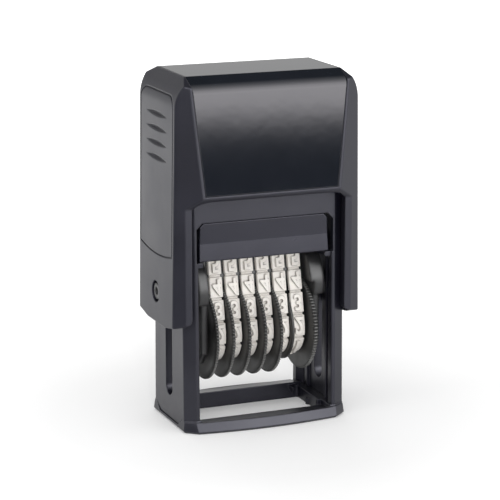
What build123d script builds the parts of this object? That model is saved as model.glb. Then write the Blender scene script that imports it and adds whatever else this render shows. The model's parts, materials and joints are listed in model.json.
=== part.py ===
from build123d import *
import math
import os

os.makedirs("parts", exist_ok=True)

# Self-inking stamp that prints a number of six digits. X runs across the digits, -Y is the
# front, +Z is up, and the origin lies on the paper under the middle of the foot. Millimetres.

# Motion: the cap goes down by press_travel and turns the number unit half a turn about pivot_z.
press_travel = 21.4
pivot_z = 31.9
print_face_z = 42.4

# Cap, outside
cap_top_z = 83.0
cap_bottom_z = 24.55
cap_corner_bottom_z = 25.6
cap_strip_bottom_z = 26.2
cap_strip_top_z = 53.4
cap_strip_round = 1.3
cap_top_half_width = 19.2
cap_shoulder_half_width = 22.47
cap_shoulder_z = 79.0
cap_shoulder_radius = 8.0
cap_bottom_half_width = 23.32
cap_half_depth = 12.76
cap_corner_half_width = 20.58
cap_corner_slope = 0.545
cap_bulge_half_depth = 14.74
cap_bulge_z = 55.7
cap_brow_half_depth = 13.36
cap_brow_z = 81.0
cap_top_half_depth = 9.05

# Cap, inside
cap_wall_half_width = 20.6
cap_wall_half_depth = 9.7
cap_gate_half_depth = 10.6
cap_hollow_corner = 0.72
cap_hollow_half_depth = 11.0
cap_ceiling_half_width = 18.9
cap_ceiling_half_depth = 10.3
cap_ceiling_z = 80.2
cap_step_z = 78.8
cap_gate_half_width = 18.97
cap_gate_top_z = 55.0
snap_slit_radius = 2.55
snap_slit_reach = 3.0

edge_radius = 0.5
small_radius = 0.3

# Side panel: an engraved line and four finger grips
panel_half_depth = 10.75
panel_top_half_depth = 7.2
panel_top_z = 78.9
panel_corner_z = 76.6
panel_bottom_z = 42.0
panel_sag = 1.2
panel_line_width = 0.35
panel_line_depth = 0.3
grip_count = 4
grip_half_length = 7.0
grip_half_height = 0.6
grip_depth = 0.7
grip_middle_z = 68.45
grip_pitch = 3.37

# Index cover and the card under it
cover_recess = 1.3
cover_thickness = 1.0
card_thickness = 0.25
cover_bottom_z = 56.3
cover_bottom_half_width = 16.35
cover_top_half_width = 18.95

# Frame
frame_bottom_z = 2.9
frame_top_z = 57.0
frame_half_width = 20.1
frame_wall = 2.0
frame_bevel_width = 2.6
frame_bevel_depth = 1.4
frame_bottom_half_depth = 11.2
frame_top_half_depth = 10.3
frame_hollow_half_depth = 9.2
frame_hollow_corner = 1.0
front_window_half_width = 16.6
back_window_half_width = 16.3
deck_z = 50.0
deck_thickness = 1.5
slot_half_width = 2.2
slot_bottom_z = 6.5
slot_top_z = 34.4
ledge_inner_x = 15.3
ledge_z = 38.9
ledge_thickness = 1.1
ledge_length = 19.8
tongue_top_half_length = 8.6
tongue_bottom_half_length = 6.0
tongue_bottom_z = 1.1
tongue_gap = 0.12
cam_pad_x = 16.8
cam_pad_half_length = 2.85
cam_pad_middle_y = 5.15
cam_pad_bottom_z = 13.9
cam_pad_top_z = 28.5

# Stiffening ribs on the inner face of the frame's side walls: where they stand along Y, and
# how high they go
rib_x = 17.5
rib_width = 1.4
front_rib_y = -5.4
front_rib_top_z = 38.0
back_rib_y = 5.7
back_rib_top_z = 13.5

# Foot: its outline just above the paper and at its upper edge, which stands out past the frame
foot_half_width = 20.37
foot_corner_y = 10.2
foot_corner_x = 17.48
foot_corner_depth = 12.65
foot_bow_depth = 14.0
foot_edge_z = 2.6
foot_edge_corner_y = 10.05
foot_edge_corner_x = 17.65
foot_edge_corner_depth = 11.6
foot_edge_bow_depth = 13.25
foot_rounding = 0.5
foot_window_half_width = 15.5
foot_window_half_depth = 6.2
foot_window_corner = 0.6
front_rail_inner_z = 1.5
front_rail_edge_y = 12.4
back_rail_inner_z = 3.9
wedge_half_width = 1.1
wedge_x = 13.9
wedge_depth = 1.2
nub_half_width = 1.2
nub_depth = 0.65

# Ink cartridge
tray_gate_half_width = 17.0
tray_gate_bottom_z = 40.1
tray_gate_top_z = 49.4
tray_gate_corner = 1.4
tray_half_width = 16.2
tray_wall = 0.9
tray_bottom_z = 40.2
tray_top_z = 49.2
tray_half_depth = 9.6
tray_corner = 0.9
tray_end_wall = 1.2
plate_lean = 0.37
plate_draft = 0.3
pad_clearance = 0.12
pad_half_width = 13.5
pad_half_depth = 8.2
pad_top_z = 47.6

# Return spring
spring_radius = 6.0
spring_wire_radius = 0.45
spring_turns = 5.5
seat_radius = 5.0
seat_height = 2.0

tray_back_gap = 0.2

# Number unit
wheel_centre_z = 21.0
wheel_radius = 11.2
wheel_disc_thickness = 0.7
wheel_hub_radius = 5.75
flange_radius = 8.4
end_disc_thickness = 0.95
groove_count = 48
groove_radius = 0.42
groove_offset = 0.12
axle_radius = 1.4
digit_count = 6
digit_pitch = 4.0
band_width = 3.1
band_hub_radius = 6.25
band_corner_radius = 0.8
band_corner_y = 1.5
band_web = 0.7
band_block = 1.0
characters = 12
character_gap = 0.6
bar_bottom_z = 32.6
bar_right_x = 12.3
comb_half_depth = 1.0
comb_spine = 1.8
finger_width = 2.4
finger_depth = 0.9
cheek_inner_x = 13.3
cheek_outer_x = 14.9
cheek_radius = 8.6
cheek_top_z = 39.3
cheek_boss_x = 15.7
cheek_boss_top_z = 38.7
cheek_boss_bottom_z = 29.5
cheek_arm_half_depth = 7.5
cheek_arm_bottom_z = 17.6
cheek_tip_half_depth = 4.6
cheek_tip_z = 14.6
pivot_pin_radius = 1.9
pivot_pin_end_x = 23.0
pivot_dimple_radius = 0.9
pivot_dimple_depth = 2.0
guide_pin_radius = 1.0
guide_arm = 5.0
guide_pin_end_x = 17.9
guide_clearance = 0.15
running_gap = 0.05


def two_way(*corners):
    """Corners of an outline that is the same on both sides of its vertical axis."""
    return list(corners) + [(-across, up) for across, up in reversed(corners)]


def four_way(*corners):
    """Corners of an outline that is the same in all four quarters, from those of one."""
    half = two_way(*corners)
    return half + [(-across, -along) for across, along in half]


def save(piece, name):
    """Label one finished piece and write it to a file of its own."""
    piece.label = name
    export_step(piece, f"parts/{name}.step")


# Foot ring: a flared rim round a window, with pockets for the frame's side tongues


def foot_outline(half_width, corner_y, corner_x, corner_depth, bow_depth):
    """Draw the foot's outline at one height: straight sides, cut corners, bowed ends."""
    Polyline(
        (-corner_x, -corner_depth),
        (-half_width, -corner_y),
        (-half_width, corner_y),
        (-corner_x, corner_depth),
    )
    ThreePointArc((-corner_x, corner_depth), (0, bow_depth), (corner_x, corner_depth))
    Polyline(
        (corner_x, corner_depth),
        (half_width, corner_y),
        (half_width, -corner_y),
        (corner_x, -corner_depth),
    )
    ThreePointArc((corner_x, -corner_depth), (0, -bow_depth), (-corner_x, -corner_depth))


def side_tongues(gap, outer_x):
    """The frame's two tongues, which hang into the foot, grown by a gap all round."""
    with BuildPart() as tongues:
        with BuildSketch(Plane.YZ):
            Polygon(
                *two_way(
                    (tongue_top_half_length + gap, frame_bottom_z),
                    (tongue_bottom_half_length + gap, tongue_bottom_z - gap),
                ),
                align=None,
            )
        extrude(amount=outer_x, both=True)
        with BuildSketch(Plane.XY):
            Rectangle(2 * (frame_half_width - frame_wall - gap), 4 * frame_half_width)
        extrude(amount=frame_bottom_z, mode=Mode.SUBTRACT)
    return tongues.part


rail_half_width = back_window_half_width - 0.1
with BuildPart() as foot_ring:
    for height, inset in ((0, foot_rounding), (foot_rounding, 0)):
        with BuildSketch(Plane.XY.offset(height)):
            with BuildLine():
                foot_outline(
                    foot_half_width - inset,
                    foot_corner_y - inset / 2,
                    foot_corner_x - inset / 2,
                    foot_corner_depth - inset,
                    foot_bow_depth - inset,
                )
            make_face()
    with BuildSketch(Plane.XY.offset(foot_edge_z)):
        with BuildLine():
            foot_outline(
                frame_half_width,
                foot_edge_corner_y,
                foot_edge_corner_x,
                foot_edge_corner_depth,
                foot_edge_bow_depth,
            )
        make_face()
    loft(ruled=True)
    # seat for the frame
    with BuildSketch(Plane.XY.offset(foot_edge_z)):
        Polygon(
            *four_way(
                (frame_half_width, frame_bottom_half_depth - frame_bevel_depth),
                (frame_half_width - frame_bevel_width, frame_bottom_half_depth),
            ),
            align=None,
        )
    extrude(amount=frame_bottom_z - foot_edge_z)
    # between the posts the back rail rises towards the window and the front rail falls
    with BuildSketch(Plane.YZ):
        Polygon(
            (foot_window_half_depth, foot_edge_z - 1),
            (foot_window_half_depth, back_rail_inner_z),
            (foot_edge_bow_depth - 0.6, foot_edge_z),
            (foot_edge_bow_depth - 0.6, foot_edge_z - 1),
            align=None,
        )
    extrude(amount=rail_half_width, both=True)
    with BuildSketch(Plane.YZ):
        Polygon(
            (-foot_bow_depth, foot_edge_z),
            (-front_rail_edge_y, foot_edge_z),
            (-foot_window_half_depth, front_rail_inner_z),
            (-foot_window_half_depth, back_rail_inner_z),
            (-foot_bow_depth, back_rail_inner_z),
            align=None,
        )
    extrude(amount=rail_half_width, both=True, mode=Mode.SUBTRACT)
    with BuildSketch(Plane.XY):
        Rectangle(2 * foot_window_half_width, 2 * foot_window_half_depth)
        fillet(vertices(), radius=foot_window_corner)
    extrude(amount=back_rail_inner_z, mode=Mode.SUBTRACT)
    # snap wedges on the back rail and nubs on the side rails, inside the window
    with BuildSketch(Plane.XZ.offset(-foot_window_half_depth)):
        with Locations((wedge_x, 0), (-wedge_x, 0)):
            Polygon(
                (-wedge_half_width, back_rail_inner_z - 0.5),
                (wedge_half_width, back_rail_inner_z - 0.5),
                (0, 1.0),
                align=None,
            )
    extrude(amount=wedge_depth, taper=25)
    with BuildSketch(Plane.XY):
        for side in (-1, 1):
            Polygon(
                (side * (foot_window_half_width + 0.2), nub_half_width),
                (side * (foot_window_half_width - nub_depth), 0),
                (side * (foot_window_half_width + 0.2), -nub_half_width),
                align=None,
            )
    extrude(amount=front_rail_inner_z)
    add(side_tongues(tongue_gap, foot_half_width + 1), mode=Mode.SUBTRACT)
save(foot_ring.part, "foot_ring")


# Frame: two slotted side walls with bevelled posts, a deck for the spring, ledges for the ink
# cartridge and cam pads that turn the number unit

frame_corner_x = frame_half_width - frame_bevel_width
wall_inner_x = frame_half_width - frame_wall
guide_path = [
    (
        guide_arm * math.sin(math.radians(turn)),
        pivot_z - press_travel * turn / 180 - guide_arm * math.cos(math.radians(turn)),
    )
    for turn in range(0, 181, 15)
]
hollow_corners = four_way(
    (wall_inner_x, frame_hollow_half_depth - frame_hollow_corner),
    (back_window_half_width, frame_hollow_half_depth),
)

with BuildPart() as frame_housing:
    with BuildSketch(Plane.XY.offset(frame_bottom_z)):
        Polygon(
            *four_way(
                (frame_half_width, frame_bottom_half_depth - frame_bevel_depth),
                (frame_corner_x, frame_bottom_half_depth),
            ),
            align=None,
        )
    with BuildSketch(Plane.XY.offset(frame_top_z)):
        Polygon(
            *four_way(
                (frame_half_width, frame_top_half_depth - frame_bevel_depth),
                (frame_corner_x, frame_top_half_depth),
            ),
            align=None,
        )
    loft(ruled=True)
    fillet(edges().filter_by(lambda e: e.bounding_box().size.Z > frame_top_z / 2), edge_radius)
    with BuildSketch(Plane.XY.offset(frame_bottom_z)):
        Polygon(*hollow_corners, align=None)
    extrude(amount=deck_z - frame_bottom_z, mode=Mode.SUBTRACT)
    with BuildSketch(Plane.XY.offset(deck_z + deck_thickness)):
        Polygon(*hollow_corners, align=None)
    extrude(amount=frame_top_z - deck_z, mode=Mode.SUBTRACT)
    # window at front and back, a little wider where the cartridge goes through
    for half_width, toward in ((front_window_half_width, 1), (back_window_half_width, -1)):
        with BuildSketch(Plane.XZ):
            Polygon(
                *two_way(
                    (half_width, 0),
                    (half_width, tray_gate_bottom_z),
                    (tray_gate_half_width, tray_gate_bottom_z),
                    (tray_gate_half_width, tray_gate_top_z - tray_gate_corner),
                    (tray_gate_half_width - tray_gate_corner, tray_gate_top_z),
                ),
                align=None,
            )
        extrude(amount=toward * foot_bow_depth, mode=Mode.SUBTRACT)
    fillet(
        edges()
        .filter_by(lambda e: abs(e.center().X) < tray_gate_half_width + 0.1)
        .filter_by(lambda e: e.bounding_box().size.Z > frame_top_z / 2),
        small_radius,
    )
    # slots that guide the pivot pins
    with BuildSketch(Plane.YZ):
        with Locations((0, (slot_top_z + slot_bottom_z) / 2)):
            SlotOverall(slot_top_z - slot_bottom_z, 2 * slot_half_width, rotation=90)
    extrude(amount=frame_half_width + 1, both=True, mode=Mode.SUBTRACT)
    add(side_tongues(0, frame_half_width))
    # seat for the return spring
    with BuildSketch(Plane.XY.offset(deck_z + deck_thickness)):
        Circle(seat_radius)
    extrude(amount=seat_height)
    # ledges under the cartridge
    with BuildSketch(Plane.XY.offset(ledge_z)):
        with GridLocations(wall_inner_x + ledge_inner_x, 0, 2, 1):
            Rectangle(wall_inner_x - ledge_inner_x + 0.2, ledge_length)
    extrude(amount=ledge_thickness)
    # ribs on the walls' inner faces
    for middle_y, top_z in ((front_rib_y, front_rib_top_z), (back_rib_y, back_rib_top_z)):
        with BuildSketch(Plane.XY.offset(frame_bottom_z)):
            with Locations((0, middle_y)):
                with GridLocations(wall_inner_x + rib_x, 0, 2, 1):
                    Rectangle(wall_inner_x - rib_x + 0.2, rib_width)
        extrude(amount=top_z - frame_bottom_z)
    # cam pads behind the slots
    for inner_face in (cam_pad_x, -wall_inner_x - 0.1):
        with BuildSketch(Plane.YZ.offset(inner_face)):
            with Locations((cam_pad_middle_y, (cam_pad_bottom_z + cam_pad_top_z) / 2)):
                Rectangle(2 * cam_pad_half_length, cam_pad_top_z - cam_pad_bottom_z)
            with BuildLine():
                Polyline(*guide_path)
                offset(amount=guide_pin_radius + guide_clearance)
            make_face(mode=Mode.SUBTRACT)
        extrude(amount=wall_inner_x + 0.1 - cam_pad_x)
    fillet(edges().group_by(Axis.Z)[-1], small_radius)
save(frame_housing.part, "frame_housing")


# Ink cartridge: a tray that is open below, with a leaning front plate, and the pad in it

pad_bottom_z = print_face_z + pad_clearance
with BuildPart() as cartridge_tray:
    with BuildSketch(Plane.XY.offset(tray_bottom_z)):
        Rectangle(2 * tray_half_width, 2 * tray_half_depth)
    extrude(amount=tray_top_z - tray_bottom_z)
    chamfer(edges().filter_by(Axis.Y).group_by(Axis.Z)[-1], length=tray_corner)
    with BuildSketch(Plane.XY.offset(tray_bottom_z)):
        Rectangle(2 * (tray_half_width - tray_wall), 2 * (tray_half_depth - tray_end_wall))
    extrude(amount=pad_top_z - tray_bottom_z, mode=Mode.SUBTRACT)
    # the back wall stays above the print face, so that the cartridge slides out over it
    with BuildSketch(Plane.XZ):
        with Locations((0, (tray_bottom_z + pad_bottom_z + tray_back_gap) / 2)):
            Rectangle(
                2 * (tray_half_width - tray_wall), pad_bottom_z + tray_back_gap - tray_bottom_z
            )
    extrude(amount=-tray_half_depth - 1, mode=Mode.SUBTRACT)
    # front plate
    with BuildSketch(Plane.YZ):
        Polygon(
            (-tray_half_depth - plate_lean, tray_bottom_z),
            (-tray_half_depth + plate_lean, tray_top_z - 0.7),
            (-tray_half_depth + 0.9, tray_top_z),
            (-tray_half_depth + tray_end_wall, tray_top_z),
            (-tray_half_depth + tray_end_wall, tray_bottom_z),
            align=None,
        )
    extrude(amount=tray_half_width, both=True)
    with BuildSketch(Plane.XZ):
        Rectangle(4 * tray_half_width, 4 * tray_top_z)
        Polygon(
            *two_way(
                (tray_half_width, tray_bottom_z - 1),
                (tray_half_width - plate_draft, tray_top_z - tray_corner),
                (tray_half_width - plate_draft - tray_corner, tray_top_z),
            ),
            align=None,
            mode=Mode.SUBTRACT,
        )
    extrude(amount=tray_half_depth + 1, mode=Mode.SUBTRACT)
    fillet(edges().filter_by(lambda e: e.center().Y < -tray_half_depth + 0.6), 0.25)
save(cartridge_tray.part, "cartridge_tray")

with BuildPart() as ink_pad:
    with BuildSketch(Plane.XY.offset(pad_bottom_z)):
        Rectangle(2 * pad_half_width, 2 * pad_half_depth)
        fillet(vertices(), radius=1.0)
    extrude(amount=pad_top_z - pad_bottom_z)
    chamfer(faces().sort_by(Axis.Z)[0].edges(), length=0.4)
save(ink_pad.part, "ink_pad")


# Cap: one hollow shell, open at front and back below, whose brow bulges out round the cover


def cap_side_outline():
    """Corners of the cap's side view, mirrored front to back."""
    return two_way(
        (cap_top_half_depth, cap_top_z),
        (cap_brow_half_depth, cap_brow_z),
        (cap_bulge_half_depth, cap_bulge_z),
        (cap_half_depth, cap_strip_top_z),
        (cap_half_depth, cap_strip_bottom_z),
        (cap_half_depth - 1.4, cap_corner_bottom_z),
        (cap_half_depth - 7.0, cap_bottom_z),
    )


def side_relief(outline, depth):
    """Cut outline to one depth into both drafted sides of the cap, following their shape."""
    with BuildPart() as relief:
        with BuildSketch(Plane.YZ):
            add(outline)
        extrude(amount=cap_bottom_half_width + 1, both=True)
        with BuildSketch(Plane.XZ):
            add(cap_front_view.sketch_local)
            offset(amount=-depth)
        extrude(amount=cap_bulge_half_depth, both=True, mode=Mode.SUBTRACT)
    return relief.part


def cover_layer(outer_depth, inner_depth, edge_gap):
    """U-shaped layer over front, top and back, between two depths below the cap's skin."""
    with BuildSketch() as skin:
        Polygon(
            *two_way(
                (cap_top_half_depth, cap_top_z),
                (cap_brow_half_depth, cap_brow_z),
                (cap_bulge_half_depth, cap_bulge_z),
                (cap_bulge_half_depth, cap_strip_top_z - 5),
            ),
            align=None,
        )
        fillet(vertices().filter_by(lambda v: v.Y > cap_brow_z - 1), radius=edge_radius)
    with BuildSketch() as core:
        add(skin.sketch)
        offset(amount=-inner_depth)
    with BuildPart() as layer:
        with BuildSketch(Plane.YZ):
            add(skin.sketch)
            if outer_depth:
                offset(amount=-outer_depth)
            add(core.sketch, mode=Mode.SUBTRACT)
        extrude(amount=cap_top_half_width + 1, both=True)
        with BuildSketch(Plane.XZ):
            Polygon(
                *two_way(
                    (cover_bottom_half_width - edge_gap, cover_bottom_z + edge_gap),
                    (cover_top_half_width - edge_gap, cap_brow_z),
                    (cover_top_half_width - edge_gap, cap_top_z + 1),
                ),
                align=None,
            )
        extrude(amount=cap_bulge_half_depth + 1, both=True, mode=Mode.INTERSECT)
    return layer.part


with BuildSketch(Plane.XZ) as cap_front_view:
    Polygon(
        *two_way(
            (cap_top_half_width, cap_top_z),
            (cap_shoulder_half_width, cap_shoulder_z),
            (cap_bottom_half_width, cap_bottom_z),
        ),
        align=None,
    )
    fillet(vertices().group_by(Axis.Y)[1], radius=cap_shoulder_radius)

with BuildSketch() as panel_line:
    with BuildLine():
        Line((panel_half_depth, panel_corner_z), (panel_half_depth, panel_bottom_z))
        ThreePointArc(
            (panel_half_depth, panel_bottom_z),
            (0, panel_bottom_z - panel_sag),
            (-panel_half_depth, panel_bottom_z),
        )
        Line((-panel_half_depth, panel_bottom_z), (-panel_half_depth, panel_corner_z))
        ThreePointArc(
            (-panel_half_depth, panel_corner_z),
            (-panel_half_depth + 1.25, panel_top_z - 0.75),
            (-panel_top_half_depth, panel_top_z),
        )
        Line((-panel_top_half_depth, panel_top_z), (panel_top_half_depth, panel_top_z))
        ThreePointArc(
            (panel_top_half_depth, panel_top_z),
            (panel_half_depth - 1.25, panel_top_z - 0.75),
            (panel_half_depth, panel_corner_z),
        )
    make_face()
    panel_inside = offset(amount=-panel_line_width, mode=Mode.PRIVATE)
    add(panel_inside, mode=Mode.SUBTRACT)

# A grip is the cut of a large disc with a sharp rim, so it is deepest in its middle.
cap_side_draft = (cap_bottom_half_width - cap_shoulder_half_width) / (cap_shoulder_z - cap_bottom_z)
grip_disc_radius = grip_half_length**2 / (2 * grip_depth)
with BuildPart() as grips:
    for count in range(grip_count):
        grip_z = grip_middle_z + (count - (grip_count - 1) / 2) * grip_pitch
        face_x = cap_shoulder_half_width + cap_side_draft * (cap_shoulder_z - grip_z)
        with BuildSketch(Plane.XZ):
            Polygon(
                (face_x - grip_depth, grip_z),
                (face_x + grip_depth, grip_z - 2 * grip_half_height),
                (face_x + grip_depth, grip_z + 2 * grip_half_height),
                align=None,
            )
        revolve(axis=Axis((face_x - grip_depth + grip_disc_radius, 0, 0), (0, 0, 1)))
    mirror(about=Plane.YZ)

with BuildPart() as cap_shell:
    corner_reach = cap_bulge_half_depth + 0.3
    with BuildSketch(Plane.XY.offset(cap_bottom_z)):
        Polygon(
            *four_way(
                (
                    cap_bottom_half_width + 0.1,
                    cap_half_depth
                    - cap_corner_slope * (cap_bottom_half_width + 0.1 - cap_corner_half_width),
                ),
                (
                    cap_corner_half_width - (corner_reach - cap_half_depth) / cap_corner_slope,
                    corner_reach,
                ),
            ),
            align=None,
        )
    extrude(amount=cap_top_z - cap_bottom_z)
    with BuildSketch(Plane.XZ):
        add(cap_front_view.sketch_local)
    extrude(amount=corner_reach, both=True, mode=Mode.INTERSECT)
    with BuildSketch(Plane.YZ):
        Polygon(*cap_side_outline(), align=None)
    extrude(amount=cap_bottom_half_width + 1, both=True, mode=Mode.INTERSECT)
    fillet(edges().filter_by(lambda e: e.center().Z > cap_strip_bottom_z + 1), radius=edge_radius)
    # hollow, narrower towards the ceiling where the shoulders slope in
    with BuildSketch(Plane.XY.offset(cap_bottom_z)):
        Polygon(
            *four_way(
                (cap_wall_half_width, cap_wall_half_depth),
                (cap_gate_half_width, cap_gate_half_depth),
                (cap_gate_half_width - cap_hollow_corner, cap_hollow_half_depth),
            ),
            align=None,
        )
    extrude(amount=cap_step_z - cap_bottom_z, mode=Mode.SUBTRACT)
    with BuildSketch(Plane.XY.offset(cap_step_z)):
        Rectangle(2 * cap_ceiling_half_width, 2 * cap_ceiling_half_depth)
    extrude(amount=cap_ceiling_z - cap_step_z, mode=Mode.SUBTRACT)
    # gate at front and back, rounded off where the strips beside it end
    with BuildSketch(Plane.XZ):
        with BuildLine():
            flare_x = cap_gate_half_width + cap_strip_round
            flare_z = cap_strip_bottom_z + cap_strip_round
            Polyline((0, 0), (flare_x, 0), (flare_x, cap_strip_bottom_z))
            CenterArc((flare_x, flare_z), cap_strip_round, -90, -90)
            Polyline(
                (cap_gate_half_width, flare_z),
                (cap_gate_half_width, cap_gate_top_z - 1.7),
                (cap_gate_half_width - 1.8, cap_gate_top_z - 0.4),
                (cap_gate_half_width - 4.0, cap_gate_top_z),
                (0, cap_gate_top_z),
            )
            mirror(about=Plane.YZ)
        make_face()
    extrude(amount=corner_reach, both=True, mode=Mode.SUBTRACT)
    # spring seat under the ceiling
    with BuildSketch(Plane.XY.offset(cap_ceiling_z - seat_height)):
        Circle(seat_radius)
    extrude(amount=seat_height)
    # snap holes for the pivot pins, each with a spring slit round its back half
    with BuildSketch(Plane.YZ):
        with Locations((0, pivot_z)):
            Circle(snap_slit_radius)
            Polygon(
                (0, 0),
                (-snap_slit_reach, 3.2),
                (-snap_slit_reach, -2.4),
                align=None,
                mode=Mode.SUBTRACT,
            )
            Circle(pivot_pin_radius + running_gap)
    extrude(amount=cap_bottom_half_width + 1, both=True, mode=Mode.SUBTRACT)
    fillet(
        edges()
        .filter_by(lambda e: e.center().Z < cap_strip_bottom_z + 0.5)
        .filter_by(lambda e: abs(e.center().X) > cap_corner_half_width + 0.1),
        small_radius,
    )
    add(cover_layer(-1, cover_recess, 0), mode=Mode.SUBTRACT)
    add(side_relief(panel_line.sketch_local, panel_line_depth), mode=Mode.SUBTRACT)
    add(grips.part, mode=Mode.SUBTRACT)
save(cap_shell.part, "cap_shell")

index_cover = cover_layer(0, cover_thickness, running_gap)
save(index_cover, "index_cover")

index_card = cover_layer(cover_thickness, cover_thickness + card_thickness, 0.6)
save(index_card, "index_card")


# Return spring between the frame's deck and the cap's ceiling, with closed ends

spring_bottom_z = deck_z + deck_thickness + spring_wire_radius
spring_top_z = cap_ceiling_z - spring_wire_radius
spring_rise = spring_top_z - spring_bottom_z
with BuildPart() as return_spring:
    with BuildLine(Plane.XY.offset(spring_bottom_z)):
        coil = Helix(pitch=spring_rise / spring_turns, height=spring_rise, radius=spring_radius)
    with BuildSketch(Plane(origin=coil @ 0, z_dir=coil % 0)):
        Circle(spring_wire_radius)
    sweep(path=coil, is_frenet=True)
    with Locations((0, 0, spring_bottom_z), (0, 0, spring_top_z)):
        Torus(spring_radius, spring_wire_radius)
save(return_spring.part, "return_spring")


# Number unit: two cheeks carry a print bar, a detent comb, an axle with six number wheels, the
# rubber bands over wheels and bar, the pivot pins and the guide pins

band_top_z = print_face_z - band_block - band_web / 2
band_corner_z = band_top_z - band_corner_radius
band_rise = band_corner_z - wheel_centre_z
band_lean = math.degrees(
    math.asin(
        (band_hub_radius - band_corner_radius) / math.hypot(band_corner_y, band_rise)
    )
    - math.atan2(band_corner_y, band_rise)
)

with BuildLine() as band_path:
    Line((0, band_top_z), (band_corner_y, band_top_z))
    back_corner = CenterArc(
        (band_corner_y, band_corner_z), band_corner_radius, 90, band_lean - 90
    )
    hub_arc = CenterArc(
        (0, wheel_centre_z), band_hub_radius, band_lean, -180 - 2 * band_lean
    )
    Line(back_corner @ 1, hub_arc @ 0)
    front_corner = CenterArc(
        (-band_corner_y, band_corner_z), band_corner_radius, 180 - band_lean, band_lean - 90
    )
    Line(hub_arc @ 1, front_corner @ 0)
    Line((-band_corner_y, band_top_z), (0, band_top_z))

with BuildSketch() as band_loop:
    add(band_path.line)
    make_face()

with BuildSketch() as band_inside:
    add(band_loop.sketch)
    offset(amount=-band_web / 2)

band_wire = band_path.wires()[0]
character_pitch = band_wire.length / characters
gap_places = []
for count in range(characters):
    along = (count + 0.5) * character_pitch / band_wire.length
    point = band_wire.position_at(along)
    tangent = band_wire.tangent_at(along)
    outward = Vector(-tangent.Y, tangent.X)
    middle = point + outward * (band_web / 2 + band_block)
    lean = math.degrees(math.atan2(tangent.Y, tangent.X))
    gap_places.append(Location((middle.X, middle.Y), lean))

with BuildSketch() as band_section:
    add(band_loop.sketch)
    offset(amount=band_web / 2 + band_block)
    add(band_inside.sketch, mode=Mode.SUBTRACT)
    with Locations(*gap_places):
        Rectangle(character_gap, 2 * band_block, mode=Mode.SUBTRACT)

digit_places = [digit_pitch * (count - (digit_count - 1) / 2) for count in range(digit_count)]

for number, middle_x in enumerate(digit_places, start=1):
    with BuildPart() as number_band:
        with BuildSketch(Plane.YZ.offset(middle_x)):
            add(band_section.sketch)
        extrude(amount=band_width / 2, both=True)
    save(number_band.part, f"number_band_{number}")

# The disc of each wheel stands left of its band; the last wheel has a plain flange there and
# its disc at the right-hand end.
disc_right_x = -band_width / 2 - 0.1
for number, middle_x in enumerate(digit_places, start=1):
    last = number == digit_count
    disc_x = middle_x + disc_right_x - wheel_disc_thickness
    hub_end_x = cheek_inner_x - 0.2 if last else middle_x + band_width / 2
    with BuildPart() as number_wheel:
        with BuildSketch(Plane.YZ.offset(disc_x)):
            with Locations((0, wheel_centre_z)):
                Circle(wheel_hub_radius)
                Circle(axle_radius + running_gap, mode=Mode.SUBTRACT)
        extrude(amount=hub_end_x - disc_x)
        with BuildSketch(Plane.YZ.offset(disc_x)):
            with Locations((0, wheel_centre_z)):
                Circle(flange_radius if last else wheel_radius)
                Circle(wheel_hub_radius - 1, mode=Mode.SUBTRACT)
                if not last:
                    with PolarLocations(wheel_radius + groove_offset, groove_count):
                        Circle(groove_radius, mode=Mode.SUBTRACT)
        extrude(amount=wheel_disc_thickness)
        if last:
            with BuildSketch(Plane.YZ.offset(hub_end_x - end_disc_thickness)):
                with Locations((0, wheel_centre_z)):
                    Circle(wheel_radius)
                    Circle(wheel_hub_radius - 1, mode=Mode.SUBTRACT)
                    with PolarLocations(wheel_radius + groove_offset, groove_count):
                        Circle(groove_radius, mode=Mode.SUBTRACT)
            extrude(amount=end_disc_thickness)
    save(number_wheel.part, f"number_wheel_{number}")

with BuildPart() as print_bar:
    with BuildSketch(Plane.YZ.offset(-cheek_inner_x)):
        add(band_inside.sketch)
        with Locations((0, bar_bottom_z)):
            Rectangle(
                4 * cheek_radius,
                4 * cheek_radius,
                align=(Align.CENTER, Align.MAX),
                mode=Mode.SUBTRACT,
            )
            Rectangle(
                2 * comb_half_depth, comb_spine, align=(Align.CENTER, Align.MIN), mode=Mode.SUBTRACT
            )
    extrude(amount=cheek_inner_x + bar_right_x)
save(print_bar.part, "print_bar")

with BuildPart() as detent_comb:
    with BuildSketch(Plane.YZ.offset(-cheek_inner_x)):
        with Locations((0, bar_bottom_z)):
            Rectangle(2 * comb_half_depth, comb_spine, align=(Align.CENTER, Align.MIN))
    extrude(amount=cheek_inner_x + bar_right_x)
    finger_tip_z = wheel_centre_z + wheel_hub_radius + 0.1
    with BuildSketch(Plane.XY.offset(finger_tip_z)):
        with GridLocations(digit_pitch, 0, digit_count, 1):
            Rectangle(finger_width, finger_depth)
    extrude(amount=bar_bottom_z - finger_tip_z)
save(detent_comb.part, "detent_comb")

with BuildPart() as wheel_axle:
    with BuildSketch(Plane.YZ):
        with Locations((0, wheel_centre_z)):
            Circle(axle_radius)
    extrude(amount=cheek_outer_x, both=True)
    chamfer(edges().filter_by(GeomType.CIRCLE), length=0.3)
save(wheel_axle.part, "wheel_axle")



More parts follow.
